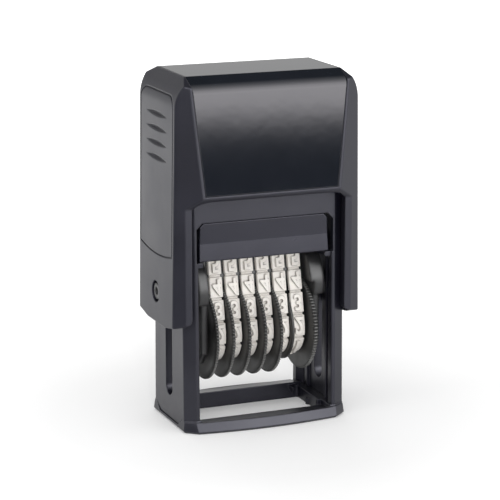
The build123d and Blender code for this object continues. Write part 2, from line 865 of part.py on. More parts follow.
def cheek_section(bottom_z, top_z):
    """The cheek's side view between two heights: a round head with flat top over an arm."""
    with BuildSketch() as section:
        with Locations((0, pivot_z)):
            Circle(cheek_radius)
        with Locations((0, cheek_boss_bottom_z)):
            Rectangle(
                4 * cheek_radius,
                cheek_radius,
                align=(Align.CENTER, Align.MAX),
                mode=Mode.SUBTRACT,
            )
        Polygon(
            *two_way(
                (cheek_arm_half_depth, cheek_boss_bottom_z),
                (cheek_arm_half_depth, cheek_arm_bottom_z),
                (cheek_tip_half_depth, cheek_tip_z),
            ),
            align=None,
        )
        for height, radius in (
            (wheel_centre_z, axle_radius),
            (pivot_z, pivot_pin_radius),
            (pivot_z - guide_arm, guide_pin_radius),
        ):
            with Locations((0, height)):
                Circle(radius, mode=Mode.SUBTRACT)
        with Locations((0, (bottom_z + top_z) / 2)):
            Rectangle(4 * cheek_radius, top_z - bottom_z, mode=Mode.INTERSECT)
    return section.sketch


for side, name in ((-1, "left"), (1, "right")):
    inner_plane = Plane.YZ.offset(side * cheek_inner_x)
    with BuildPart() as cheek:
        with BuildSketch(inner_plane):
            add(cheek_section(0, cheek_top_z))
        extrude(amount=side * (cheek_outer_x - cheek_inner_x))
        outer_face = faces().sort_by(Axis.X)[-1 if side > 0 else 0]
        fillet(outer_face.outer_wire().edges(), small_radius)
        # thick head, on the right also towards the bands
        with BuildSketch(inner_plane):
            add(cheek_section(cheek_boss_bottom_z, cheek_boss_top_z))
        extrude(amount=side * (cheek_boss_x - cheek_inner_x))
        if side > 0:
            with BuildSketch(Plane.YZ.offset(bar_right_x)):
                add(cheek_section(bar_bottom_z + 0.1, cheek_boss_top_z))
            extrude(amount=cheek_inner_x - bar_right_x)
    save(cheek.part, f"carrier_{name}_cheek")

    with BuildPart() as pivot_pin:
        with BuildSketch(inner_plane):
            with Locations((0, pivot_z)):
                Circle(pivot_pin_radius)
        extrude(amount=side * (pivot_pin_end_x - cheek_inner_x))
        with BuildSketch(Plane.YZ.offset(side * pivot_pin_end_x)):
            with Locations((0, pivot_z)):
                Circle(pivot_dimple_radius)
        extrude(amount=-side * pivot_dimple_depth, mode=Mode.SUBTRACT)
    save(pivot_pin.part, f"pivot_pin_{name}")

    with BuildPart() as guide_pin:
        with BuildSketch(inner_plane):
            with Locations((0, pivot_z - guide_arm)):
                Circle(guide_pin_radius)
        extrude(amount=side * (guide_pin_end_x - cheek_inner_x))
    save(guide_pin.part, f"guide_pin_{name}")
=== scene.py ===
import bmesh
import bpy
import json
import math
import numpy as np
from mathutils import Matrix, Vector


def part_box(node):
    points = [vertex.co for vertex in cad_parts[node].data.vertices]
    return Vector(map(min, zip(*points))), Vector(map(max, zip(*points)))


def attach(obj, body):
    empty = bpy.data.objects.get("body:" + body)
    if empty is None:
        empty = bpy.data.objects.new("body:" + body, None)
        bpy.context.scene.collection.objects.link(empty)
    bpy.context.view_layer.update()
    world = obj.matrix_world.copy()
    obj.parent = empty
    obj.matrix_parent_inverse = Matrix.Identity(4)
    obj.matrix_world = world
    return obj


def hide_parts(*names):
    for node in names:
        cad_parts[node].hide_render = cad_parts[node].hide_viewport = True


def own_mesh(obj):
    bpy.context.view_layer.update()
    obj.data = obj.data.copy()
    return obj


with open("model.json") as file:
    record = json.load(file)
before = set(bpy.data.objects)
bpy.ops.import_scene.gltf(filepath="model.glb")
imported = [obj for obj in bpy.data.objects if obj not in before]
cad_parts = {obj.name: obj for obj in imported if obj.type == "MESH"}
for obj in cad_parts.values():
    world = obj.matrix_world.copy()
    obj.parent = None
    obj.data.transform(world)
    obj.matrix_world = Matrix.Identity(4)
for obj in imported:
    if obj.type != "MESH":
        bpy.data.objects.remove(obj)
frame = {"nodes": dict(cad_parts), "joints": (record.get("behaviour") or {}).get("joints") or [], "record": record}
nodes = frame["nodes"]
joints = {joint["name"]: joint for joint in frame["joints"]}
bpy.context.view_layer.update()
mm = 0.001
print("frame:", len(nodes), "nodes")


# the number unit: how many digits it has, how far apart they stand and the height of their axle

def inMillimetres(metres):
    return round(metres / mm, 2)


digitCount = sum(name.startswith("number_band_") for name in nodes)
digitPitch = inMillimetres(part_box("number_band_2")[0].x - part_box("number_band_1")[0].x)
axleZ = inMillimetres(joints["wheel_1_turn"]["pos_m"][2])


def digitMiddle(number):
    # x of a digit's band, with the row of digits centred on x = 0
    return digitPitch * (number - (digitCount + 1) / 2)


# meshes

def gridFaces(rows, columns, wrapRows=False, wrapColumns=False):
    # quads between the neighbours of a grid, joined end to end where asked
    row = np.arange(rows if wrapRows else rows - 1)
    column = np.arange(columns if wrapColumns else columns - 1)
    i, j = np.meshgrid(row, column, indexing="ij")
    nextRow, nextColumn = (i + 1) % rows, (j + 1) % columns
    corners = (i * columns + j, nextRow * columns + j,
               nextRow * columns + nextColumn, i * columns + nextColumn)
    return np.stack(corners, axis=-1).reshape(-1, 4)


def makePiece(name, points, faces, sharpAngle):
    # points in millimetres; smooth but for edges sharper than sharpAngle degrees
    mesh = bpy.data.meshes.new(name)
    spots = np.asarray(points, float).reshape(-1, 3) * mm
    mesh.from_pydata(spots.tolist(), [], [list(face) for face in faces])
    mesh.polygons.foreach_set("use_smooth", [True] * len(mesh.polygons))
    mesh.set_sharp_from_angle(angle=math.radians(sharpAngle))
    mesh.update()
    piece = bpy.data.objects.new(name, mesh)
    bpy.context.scene.collection.objects.link(piece)
    return piece


# shader nodes

def feed(tree, socket, source):
    # an input takes either the output of another node or a plain value
    if isinstance(source, bpy.types.NodeSocket):
        tree.links.new(source, socket)
    else:
        socket.default_value = source


def addNode(tree, kind, sources=None, **settings):
    # a node with its settings; sources are filed under the name or number of their input
    node = tree.nodes.new("ShaderNode" + kind)
    for key, value in settings.items():
        setattr(node, key, value)
    for key, source in (sources or {}).items():
        feed(tree, node.inputs[key], source)
    return node


def calculate(tree, operation, *values):
    return addNode(tree, "Math", dict(enumerate(values)), operation=operation).outputs[0]


def noise(tree, vector, scale, detail, roughness=0.5):
    sources = {"Vector": vector, "Scale": scale, "Detail": detail, "Roughness": roughness}
    return addNode(tree, "TexNoise", sources).outputs["Fac"]


def mapValue(tree, value, low, high, fromLow=0.3, fromHigh=0.7):
    # most of a noise lies between 0.3 and 0.7
    sources = {"Value": value, "From Min": fromLow, "From Max": fromHigh, "To Min": low, "To Max": high}
    return addNode(tree, "MapRange", sources).outputs[0]


def mixColour(tree, factor, first, second):
    mix = tree.nodes.new("ShaderNodeMix")
    mix.data_type = "RGBA"
    for number, source in ((0, factor), (6, first), (7, second)):  # the colour inputs are 6 and 7
        feed(tree, mix.inputs[number], source)
    return mix.outputs[2]


# shader node groups

def newGroup(name, sizes, outputs, hasVector=True):
    # sizes: name and default of each number it takes; outputs: name and socket kind
    group = bpy.data.node_groups.new(name, "ShaderNodeTree")
    if hasVector:
        group.interface.new_socket("Vector", in_out="INPUT", socket_type="NodeSocketVector")
    for label, value in sizes.items():
        socket = group.interface.new_socket(label, in_out="INPUT", socket_type="NodeSocketFloat")
        socket.default_value = value
    for label, kind in outputs.items():
        group.interface.new_socket(label, in_out="OUTPUT", socket_type="NodeSocket" + kind)
    given, out = group.nodes.new("NodeGroupInput"), group.nodes.new("NodeGroupOutput")
    return group, given.outputs, out.inputs


def patternScale(group, size):
    # noise scale for a pattern size in millimetres
    return calculate(group, "DIVIDE", 1 / mm, size)


def makeMouldedGrain():
    # fine spark-eroded grain, slow tone changes and thin handling marks of moulded plastic
    group, given, out = newGroup(
        "mouldedGrain",
        {"Grain Size": 0.25, "Tone Size": 12.0},
        {"Height": "Float", "Tone": "Float", "Scuffs": "Float"},
    )
    vector = given["Vector"]
    stretched = addNode(group, "Mapping", {"Vector": vector, "Rotation": (0.3, 0.5, 0.9),
                                           "Scale": (1.0, 9.0, 2.0)}).outputs[0]
    scratches = noise(group, stretched, scale=260.0, detail=6.0, roughness=0.7)
    grain = noise(group, vector, patternScale(group, given["Grain Size"]), detail=2.0, roughness=0.6)
    tone = noise(group, vector, patternScale(group, given["Tone Size"]), detail=4.0, roughness=0.55)
    feed(group, out["Height"], grain)
    feed(group, out["Tone"], tone)
    feed(group, out["Scuffs"], mapValue(group, scratches, low=0.0, high=1.0, fromLow=0.6, fromHigh=0.78))
    return group


def makeSoftEdge():
    # rounds the look of sharp edges and gives a mask of them, for the rim of moulded plastic, lighter there from
    # rubbing and from a painted edge highlight;
    # the mask grows as the rounded normal turns away from the face's own
    group, given, out = newGroup("softEdge", {"Radius": 0.25}, {"Normal": "Vector", "Edge": "Float"},
                                 hasVector=False)
    radius = calculate(group, "MULTIPLY", given["Radius"], mm)
    rounded = addNode(group, "Bevel", {"Radius": radius}, samples=6).outputs[0]
    ownNormal = addNode(group, "NewGeometry").outputs["Normal"]
    facing = addNode(group, "VectorMath", {0: rounded, 1: ownNormal}, operation="DOT_PRODUCT")
    edge = mapValue(group, facing.outputs["Value"], low=0.0, high=1.0, fromLow=0.995, fromHigh=0.85)
    feed(group, out["Normal"], rounded)
    feed(group, out["Edge"], edge)
    return group


def makeCornerGrimeAndShade():
    # ink and dust left in corners and along the foot of raised forms, in uneven patches, together with painted
    # shade: the mask darkens the surface wherever it is closed in
    group, given, out = newGroup("cornerGrimeAndShade", {"Reach": 0.6, "Patch Size": 1.2}, {"GrimeAndShade": "Float"})
    reach = calculate(group, "MULTIPLY", given["Reach"], mm)
    # painted shade: ambient occlusion over this reach darkens corners and the foot of raised forms
    hollow = addNode(group, "AmbientOcclusion", {"Distance": reach}, samples=8, only_local=True)
    closed = mapValue(group, hollow.outputs["AO"], low=0.0, high=1.0, fromLow=0.92, fromHigh=0.5)
    patches = noise(group, given["Vector"], patternScale(group, given["Patch Size"]), detail=3.0)
    feed(group, out["GrimeAndShade"], calculate(group, "MULTIPLY", closed, mapValue(group, patches, 0.55, 1.0)))
    return group


mouldedGrain = makeMouldedGrain()
softEdge = makeSoftEdge()
cornerGrimeAndShade = makeCornerGrimeAndShade()


# materials: sizes, radii and depths in millimetres, scales of noise per metre

def newMaterial(name):
    material = bpy.data.materials.new(name)
    material.use_nodes = True
    tree = material.node_tree
    return material, tree, tree.nodes["Principled BSDF"].inputs, addNode(tree, "TexCoord").outputs["Object"]


def grainOf(tree, position, finish):
    # the outputs of the shared grain at this finish's sizes
    sources = {"Vector": position, "Grain Size": finish["grainSize"], "Tone Size": finish["toneSize"]}
    return addNode(tree, "Group", sources, node_tree=mouldedGrain).outputs


def addBump(tree, surface, height, finish, normal=None):
    bump = addNode(tree, "Bump", {"Height": height, "Distance": finish["bumpDepth"] * mm,
                                  "Strength": finish["bumpStrength"]})
    if normal:
        feed(tree, bump.inputs["Normal"], normal)
    feed(tree, surface["Normal"], bump.outputs[0])


# dark and light are the ends of the slow change of tone; the edge tone is lighter, from rubbing and from a painted
# edge highlight together
plasticFinishes = {
    "capPlastic": {
        "dark": (0.006, 0.006, 0.010, 1), "light": (0.009, 0.009, 0.015, 1),
        "wornAndHighlight": (0.020, 0.020, 0.026, 1), "roughness": (0.34, 0.42), "toneSize": 14.0, "edgeRadius": 0.45,
        "grainSize": 0.22, "bumpDepth": 0.010, "bumpStrength": 0.6,
        "reflection": (0.90, 0.90, 1, 1), "shine": 0.44,
    },
    "framePlastic": {
        "dark": (0.005, 0.005, 0.009, 1), "light": (0.008, 0.008, 0.013, 1),
        "wornAndHighlight": (0.04, 0.04, 0.05, 1), "roughness": (0.30, 0.38), "toneSize": 9.0, "edgeRadius": 0.35,
        "grainSize": 0.18, "bumpDepth": 0.006, "bumpStrength": 0.6,
        "reflection": (0.90, 0.90, 1, 1), "shine": 0.5,
    },
    "cartridgePlastic": {
        "dark": (0.004, 0.004, 0.008, 1), "light": (0.006, 0.006, 0.011, 1),
        "wornAndHighlight": (0.04, 0.04, 0.05, 1), "roughness": (0.23, 0.27), "toneSize": 8.0, "edgeRadius": 0.25,
        "grainSize": 0.2, "bumpDepth": 0.008, "bumpStrength": 0.6,
        "reflection": (0.88, 0.88, 1, 1), "shine": 0.46,
    },
    "wheelPlastic": {
        "dark": (0.014, 0.014, 0.014, 1), "light": (0.021, 0.021, 0.020, 1),
        "wornAndHighlight": (0.03, 0.03, 0.03, 1), "roughness": (0.42, 0.55), "toneSize": 5.0, "edgeRadius": 0.08,
        "grainSize": 0.3, "bumpDepth": 0.010, "bumpStrength": 0.6,
        "reflection": (1, 1, 1, 1), "shine": 0.5,
    },
    "unitPlastic": {
        "dark": (0.015, 0.015, 0.016, 1), "light": (0.022, 0.022, 0.023, 1),
        "wornAndHighlight": (0.03, 0.03, 0.03, 1), "roughness": (0.30, 0.38), "toneSize": 6.0, "edgeRadius": 0.9,
        "grainSize": 0.25, "bumpDepth": 0.005, "bumpStrength": 0.6,
        "reflection": (1, 1, 1, 1), "shine": 0.5,
    },
}
edgeWearAndHighlight = (0.1, 0.8)  # least and most of the lighter edge tone, rubbed and painted highlight
scuffedRoughness = 0.04  # what a handling mark adds to the roughness


def makePlastic(name, finish):
    # moulded plastic: grain, slow tone, handling marks, and edges lighter from rubbing and from a painted
    # highlight
    material, tree, surface, position = newMaterial(name)
    grain = grainOf(tree, position, finish)
    edge = addNode(tree, "Group", {"Radius": finish["edgeRadius"]}, node_tree=softEdge).outputs
    colour = mixColour(tree, mapValue(tree, grain["Tone"], 0.0, 1.0), finish["dark"], finish["light"])
    # painted highlight with the rubbing: the edge mask turns the edges to the lighter edge tone
    wearAndHighlight = calculate(tree, "MULTIPLY", edge["Edge"], mapValue(tree, grain["Tone"], *edgeWearAndHighlight))
    feed(tree, surface["Base Color"], mixColour(tree, wearAndHighlight, colour, finish["wornAndHighlight"]))
    rough = mapValue(tree, grain["Tone"], *finish["roughness"])
    scuffed = calculate(tree, "MULTIPLY_ADD", grain["Scuffs"], scuffedRoughness, rough)
    feed(tree, surface["Roughness"], scuffed)
    feed(tree, surface["Specular Tint"], finish["reflection"])
    feed(tree, surface["Specular IOR Level"], finish["shine"])
    addBump(tree, surface, grain["Height"], finish, normal=edge["Normal"])
    return material


# tooth tips: the colour paints a highlight on them as well as polishing, the smoothness is polishing
toothPolishAndHighlight = {"startRadius": 10.95, "endRadius": 11.15, "colour": (0.08, 0.08, 0.077, 1), "smoother": 0.2}


def polishTeethAndHighlight(material, polishAndHighlight):
    # the teeth are polished by thumbs, smoother the further out from the axle; their lighter colour there is
    # partly polishing and partly a painted highlight of glints on the tips
    tree = material.node_tree
    surface = tree.nodes["Principled BSDF"].inputs
    fromAxle = addNode(tree, "Mapping", {"Vector": addNode(tree, "TexCoord").outputs["Object"],
                                         "Location": (0, 0, -axleZ * mm), "Scale": (0, 1, 1)}).outputs[0]
    outwards = addNode(tree, "VectorMath", {0: fromAxle}, operation="LENGTH").outputs["Value"]
    tip = mapValue(tree, outwards, 0.0, 1.0, polishAndHighlight["startRadius"] * mm, polishAndHighlight["endRadius"] * mm)
    colour = surface["Base Color"].links[0].from_socket
    # painted highlight: the tooth tips take a lighter colour
    feed(tree, surface["Base Color"], mixColour(tree, tip, colour, polishAndHighlight["colour"]))
    rough = surface["Roughness"].links[0].from_socket
    feed(tree, surface["Roughness"], calculate(tree, "MULTIPLY_ADD", tip, -polishAndHighlight["smoother"], rough))


coverFinish = {
    "dark": (0.006, 0.008, 0.012, 1), "light": (0.009, 0.011, 0.016, 1), "reflection": (1, 0.965, 1, 1),
    "roughness": (0.03, 0.06), "scuffedRoughness": 0.05, "toneSize": 16.0,
    "grainSize": 6.0, "bumpDepth": 0.02, "bumpStrength": 0.35,
}


def makeCoverGloss(finish):
    # polished black plastic: hard reflections, a faint waviness of the moulding, smudges in the roughness
    material, tree, surface, position = newMaterial("coverGloss")
    grain = grainOf(tree, position, finish)
    tone = mapValue(tree, grain["Tone"], 0.0, 1.0)
    feed(tree, surface["Base Color"], mixColour(tree, tone, finish["dark"], finish["light"]))
    feed(tree, surface["Specular Tint"], finish["reflection"])
    smudge = mapValue(tree, grain["Tone"], *finish["roughness"])
    scuffed = calculate(tree, "MULTIPLY_ADD", grain["Scuffs"], finish["scuffedRoughness"], smudge)
    feed(tree, surface["Roughness"], scuffed)
    addBump(tree, surface, grain["Height"], finish)
    return material


# the dark corner colour stands for ink and dust in the corners of the type and for painted shade there
rubberFinish = {
    "dark": (0.74, 0.70, 0.65, 1), "light": (0.82, 0.79, 0.75, 1), "roughness": (0.55, 0.75), "toneSize": 1.6,
    "grimeAndShade": (0.11, 0.095, 0.08, 1), "grimeAndShadeShare": 0.9, "grimeAndShadeReach": 0.55, "grimeAndShadePatches": 1.4,
    "grainSize": 0.3, "bumpDepth": 0.03, "bumpStrength": 0.8,
}


def makeBandRubber(finish):
    # pale rubber, mottled, with ink and dust in the corners of the type, and painted shade that darkens those
    # corners and the foot of the type
    material, tree, surface, position = newMaterial("bandRubber")
    grain = grainOf(tree, position, finish)
    cornerDarkening = addNode(tree, "Group", {"Vector": position, "Reach": finish["grimeAndShadeReach"],
                                   "Patch Size": finish["grimeAndShadePatches"]}, node_tree=cornerGrimeAndShade).outputs
    rubber = mixColour(tree, mapValue(tree, grain["Tone"], 0.0, 1.0), finish["dark"], finish["light"])
    # painted shade with the ink: closed-in corners of the type take the dark corner colour
    darkened = calculate(tree, "MULTIPLY", cornerDarkening["GrimeAndShade"], finish["grimeAndShadeShare"])
    feed(tree, surface["Base Color"], mixColour(tree, darkened, rubber, finish["grimeAndShade"]))
    feed(tree, surface["Roughness"], mapValue(tree, grain["Tone"], *finish["roughness"]))
    addBump(tree, surface, grain["Height"], finish)
    return material


feltFinish = {
    "dark": (0.004, 0.004, 0.006, 1), "light": (0.02, 0.02, 0.026, 1), "roughness": (0.45, 0.9),
    "fibreScale": 3500.0, "fibreStretch": 0.25, "patchScale": 260.0, "bumpDepth": 0.12, "bumpStrength": 1.0,
}


def makeInkFelt(finish):
    # felt soaked with ink: short crossed fibres, wet in patches
    material, tree, surface, position = newMaterial("inkFelt")
    crossed = []
    for stretch in ((finish["fibreStretch"], 1.0, 1.0), (1.0, finish["fibreStretch"], 1.0)):
        stretched = addNode(tree, "Mapping", {"Vector": position, "Scale": stretch}).outputs[0]
        crossed.append(noise(tree, stretched, finish["fibreScale"], detail=3.0))
    fibres = calculate(tree, "MAXIMUM", *crossed)
    wet = noise(tree, position, finish["patchScale"], detail=2.0)
    feed(tree, surface["Base Color"], mixColour(tree, fibres, finish["dark"], finish["light"]))
    feed(tree, surface["Roughness"], mapValue(tree, wet, *finish["roughness"]))
    addBump(tree, surface, fibres, finish)
    return material


cardFinish = {
    "dark": (0.010, 0.010, 0.011, 1), "light": (0.03, 0.03, 0.032, 1), "roughness": (0.7, 0.9),
    "toneSize": 3.0, "grainSize": 0.15, "bumpDepth": 0.03, "bumpStrength": 1.0,
}


def makeBlackCard(finish):
    # black card: fine paper fibres
    material, tree, surface, position = newMaterial("blackCard")
    grain = grainOf(tree, position, finish)
    feed(tree, surface["Base Color"], mixColour(tree, grain["Height"], finish["dark"], finish["light"]))
    feed(tree, surface["Roughness"], mapValue(tree, grain["Tone"], *finish["roughness"]))
    addBump(tree, surface, grain["Height"], finish)
    return material


steelFinish = {
    "dark": (0.42, 0.42, 0.43, 1), "light": (0.60, 0.60, 0.60, 1), "roughness": (0.22, 0.42),
    "markScale": 1500.0, "markStretch": (1.0, 1.0, 9.0), "patchScale": 300.0,
    "bumpDepth": 0.01, "bumpStrength": 0.5,
}


def makeSpringSteel(finish):
    # drawn spring wire: fine marks that lie level, as the wire nearly does, and darker patches
    material, tree, surface, position = newMaterial("springSteel")
    stretched = addNode(tree, "Mapping", {"Vector": position, "Scale": finish["markStretch"]}).outputs[0]
    marks = noise(tree, stretched, finish["markScale"], detail=4.0)
    patches = noise(tree, position, finish["patchScale"], detail=2.0)
    feed(tree, surface["Metallic"], 1.0)
    feed(tree, surface["Base Color"], mixColour(tree, patches, finish["dark"], finish["light"]))
    feed(tree, surface["Roughness"], mapValue(tree, marks, *finish["roughness"]))
    addBump(tree, surface, marks, finish)
    return material


materials = {name: makePlastic(name, finish) for name, finish in plasticFinishes.items()}
polishTeethAndHighlight(materials["wheelPlastic"], toothPolishAndHighlight)
materials |= {
    "coverGloss": makeCoverGloss(coverFinish), "bandRubber": makeBandRubber(rubberFinish),
    "inkFelt": makeInkFelt(feltFinish), "blackCard": makeBlackCard(cardFinish),
    "springSteel": makeSpringSteel(steelFinish),
}
materialOfSlot = {
    "cap_plastic": "capPlastic", "cover_gloss": "coverGloss", "card": "blackCard",
    "frame_plastic": "framePlastic", "foot_plastic": "framePlastic", "cartridge_plastic": "cartridgePlastic",
    "pad_felt": "inkFelt", "band_rubber": "bandRubber", "wheel_plastic": "wheelPlastic",
    "unit_plastic": "unitPlastic", "spring_steel": "springSteel",
}
for subpart in frame["record"]["subparts"]:
    node = nodes[subpart["node"]]
    node.data.materials.clear()
    node.data.materials.append(materials[materialOfSlot[subpart["material_slot"]]])
print("materials:", ", ".join(materials))


def place(piece, body, slot, node):
    # a finished piece takes the slot's material, moves with its body and stands in for a frame node
    piece.data.materials.append(materials[materialOfSlot[slot]])
    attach(piece, body)
    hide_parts(node)


# number bands

numberBand = {
    "hubRadius": 6.25, "cornerRadius": 0.8, "cornerY": 1.5, "topZ": 41.05, "halfWeb": 0.35,
    "blocks": 12, "blockHeight": 0.78, "halfWidth": 1.55, "neckHalfWidth": 1.32,
    "gap": 0.52, "slope": 0.14, "edge": 0.10, "rimRun": 0.02, "rimRise": 0.93, "rowsPerBlock": 36,
    "sequence": "6543210  987", "typeFoot": 0.68, "typeFace": 1.35, "typeHeight": 3.8, "typeWidth": 2.45,
    "typeSqueeze": 0.85, "typeDraft": 1.03, "typeBold": 0.11, "typeStep": 0.25,
    "fontSize": 5.0, "fontDepth": 0.5, "fontSteps": 4, "mergeDistance": 0.0005, "sharpAngle": 40,
}


def bandRun(shape):
    # lean and length of the straight run, the tangent between the corner's circle and the hub's
    rise = shape["topZ"] - shape["cornerRadius"] - axleZ
    spread = math.hypot(shape["cornerY"], rise)
    difference = shape["hubRadius"] - shape["cornerRadius"]
    lean = math.asin(difference / spread) - math.atan2(shape["cornerY"], rise)
    return lean, math.sqrt(spread ** 2 - difference ** 2)


def bandLength(shape):
    # both halves of the loop: flat top, corner arc, run and hub arc
    lean, run = bandRun(shape)
    turn = math.pi / 2 - lean
    return 2 * (shape["cornerY"] + shape["cornerRadius"] * turn + run + shape["hubRadius"] * (math.pi - turn))


def bandPoint(shape, along, height):
    # place on the loop: flat top, corner arc, leaning run, hub arc, mirrored for the back half;
    # along is measured from the middle of the top towards the front, height outwards from the web's middle
    lean, run = bandRun(shape)
    turn = math.pi / 2 - lean
    far = np.abs(along)
    pastTop = far - shape["cornerY"]
    pastCorner = pastTop - shape["cornerRadius"] * turn
    cornerTurn = np.clip(pastTop / shape["cornerRadius"], 0, turn)
    onRun = np.clip(pastCorner, 0, run)
    hubTurn = np.clip(pastCorner - run, 0, None) / shape["hubRadius"]
    onTop = np.minimum(far, shape["cornerY"])
    y = (-onTop - shape["cornerRadius"] * np.sin(cornerTurn) - onRun * math.sin(lean)
         - shape["hubRadius"] * (np.sin(turn + hubTurn) - math.sin(turn)))
    z = (shape["topZ"] + shape["cornerRadius"] * (np.cos(cornerTurn) - 1) - onRun * math.cos(lean)
         + shape["hubRadius"] * (np.cos(turn + hubTurn) - math.cos(turn)))
    angle = cornerTurn + hubTurn
    y = y - height * np.sin(angle)
    z = z + height * np.cos(angle)
    return np.where(along < 0, -1.0, 1.0) * y, z


def bandSurface(shape, middleX):
    # closed section carried round the loop; at each gap between blocks it shrinks to the narrow neck,
    # and where a block starts, its edge is broken: rimRise of its height, all of it after rimRun more
    loop = bandLength(shape)
    pitch = loop / shape["blocks"]
    gapEnd, blockStart = shape["gap"] / 2, shape["gap"] / 2 + shape["slope"]
    first, *others = np.linspace(blockStart, pitch - blockStart, shape["rowsPerBlock"])
    within = np.array([gapEnd, first, first + shape["rimRun"], *others, pitch - gapEnd])
    raised = np.ones(len(within))
    raised[[0, 1, -1]] = 0.0, shape["rimRise"], 0.0
    raised = np.tile(raised, shape["blocks"])[:, None]
    along = ((np.arange(shape["blocks"])[:, None] + 0.5) * pitch + within).reshape(-1)
    along = np.where(along > loop / 2, along - loop, along)
    # section rows: side, outer or inner face, and how far the broken edge draws in x and height
    edge = shape["edge"]
    section = np.array([(-1, 0, -edge, 0), (-1, 0, 0, edge), (-1, 1, 0, -edge), (-1, 1, -edge, 0),
                        (1, 1, -edge, 0), (1, 1, 0, -edge), (1, 0, 0, edge), (1, 0, -edge, 0)])
    halfWidth = shape["neckHalfWidth"] + (shape["halfWidth"] - shape["neckHalfWidth"]) * raised
    top = shape["halfWeb"] + (shape["blockHeight"] - shape["halfWeb"]) * raised
    x = middleX + section[:, 0] * (halfWidth + section[:, 2])
    height = np.where(section[:, 1] > 0, top, -shape["halfWeb"]) + section[:, 3]
    y, z = bandPoint(shape, np.repeat(along[:, None], len(section), axis=1), height)
    faces = gridFaces(len(along), len(section), wrapRows=True, wrapColumns=True)
    return np.stack((x, y, z), axis=-1).reshape(-1, 3), faces


def figureMesh(shape, figure):
    # one raised figure in the flat: across, along and height, cut into strips so that it can bend
    curve = bpy.data.curves.new("figure" + figure, "FONT")
    curve.body = figure
    curve.align_x, curve.align_y = "CENTER", "CENTER"
    curve.size = shape["fontSize"]
    curve.resolution_u = shape["fontSteps"]
    curve.extrude = shape["fontDepth"]
    curve.offset = shape["typeBold"]
    letter = bpy.data.objects.new("figure" + figure, curve)
    flat = bpy.data.meshes.new_from_object(letter)
    shaped = bmesh.new()
    shaped.from_mesh(flat)
    bpy.data.objects.remove(letter)
    bpy.data.curves.remove(curve)
    bpy.data.meshes.remove(flat)
    bmesh.ops.remove_doubles(shaped, verts=shaped.verts, dist=shape["mergeDistance"])
    spots = np.array([vertex.co for vertex in shaped.verts])
    low, high = spots.min(axis=0), spots.max(axis=0)
    middle, extent = (low + high) / 2, high - low
    stretch = shape["typeHeight"] / extent[1]
    squeeze = min(stretch * shape["typeSqueeze"], shape["typeWidth"] / extent[0])
    halfHeight, step = shape["typeHeight"] / 2, shape["typeStep"]
    for cut in np.arange(step - halfHeight, halfHeight, step):
        everything = shaped.verts[:] + shaped.edges[:] + shaped.faces[:]
        cutPoint = (0, middle[1] + cut / stretch, 0)
        bmesh.ops.bisect_plane(shaped, geom=everything, plane_co=cutPoint, plane_no=(0, 1, 0))
    spots = np.array([vertex.co for vertex in shaped.verts]) - middle
    shaped.verts.index_update()
    faces = [[vertex.index for vertex in face.verts] for face in shaped.faces]
    shaped.free()
    onFace = spots[:, 2] > 0
    draft = np.where(onFace, 1.0, shape["typeDraft"])
    up = np.where(onFace, shape["typeFace"], shape["typeFoot"])
    return spots[:, 0] * squeeze * draft, spots[:, 1] * stretch * draft, up, faces


def bandPiece(shape, number, flatFigures):
    # the rubber loop with a figure bent over each block but the two that stay bare
    middleX = digitMiddle(number)
    pitch = bandLength(shape) / shape["blocks"]
    points, loopFaces = bandSurface(shape, middleX)
    pointLists, faces, count = [points], loopFaces.tolist(), len(points)
    for step, figure in enumerate(shape["sequence"]):
        if figure in flatFigures:
            across, along, up, figureFaces = flatFigures[figure]
            block = step if step <= shape["blocks"] // 2 else step - shape["blocks"]
            y, z = bandPoint(shape, block * pitch + along, up)
            pointLists.append(np.stack((middleX + across, y, z), axis=-1))
            faces += [[count + index for index in reversed(face)] for face in figureFaces]
            count += len(across)
    return makePiece(f"numberBand{number}", np.concatenate(pointLists), faces, shape["sharpAngle"])


figures = {figure: figureMesh(numberBand, figure) for figure in sorted(set(numberBand["sequence"]) - {" "})}
for number in range(1, digitCount + 1):
    band = bandPiece(numberBand, number, figures)
    place(band, "number_unit", "band_rubber", f"number_band_{number}")
print("number bands: length", round(bandLength(numberBand), 2), "mm")


# number wheels

numberWheel = {
    "bore": 1.45, "hub": 5.75, "rim": 11.2, "flange": 8.4,
    "discLeft": -2.35, "discRight": -1.65, "hubRight": 1.55, "endDiscLeft": 12.15, "endDiscRight": 13.1,
    "teeth": 90, "toothDepth": 0.45, "dips": (0.0, 0.1, 0.8, 1.0, 0.8, 0.1),
    "endToothDepth": 0.5, "landWidth": 1.6, "landSlope": 0.3,
    "boss": 3.2, "dish": 3.4, "faceRecess": 0.14, "hubCorner": 0.2, "hubChamfer": 0.15,
    "chamfer": 0.12, "edgeSetBack": 0.02, "edgeDrop": 0.05, "sharpAngle": 38,
}


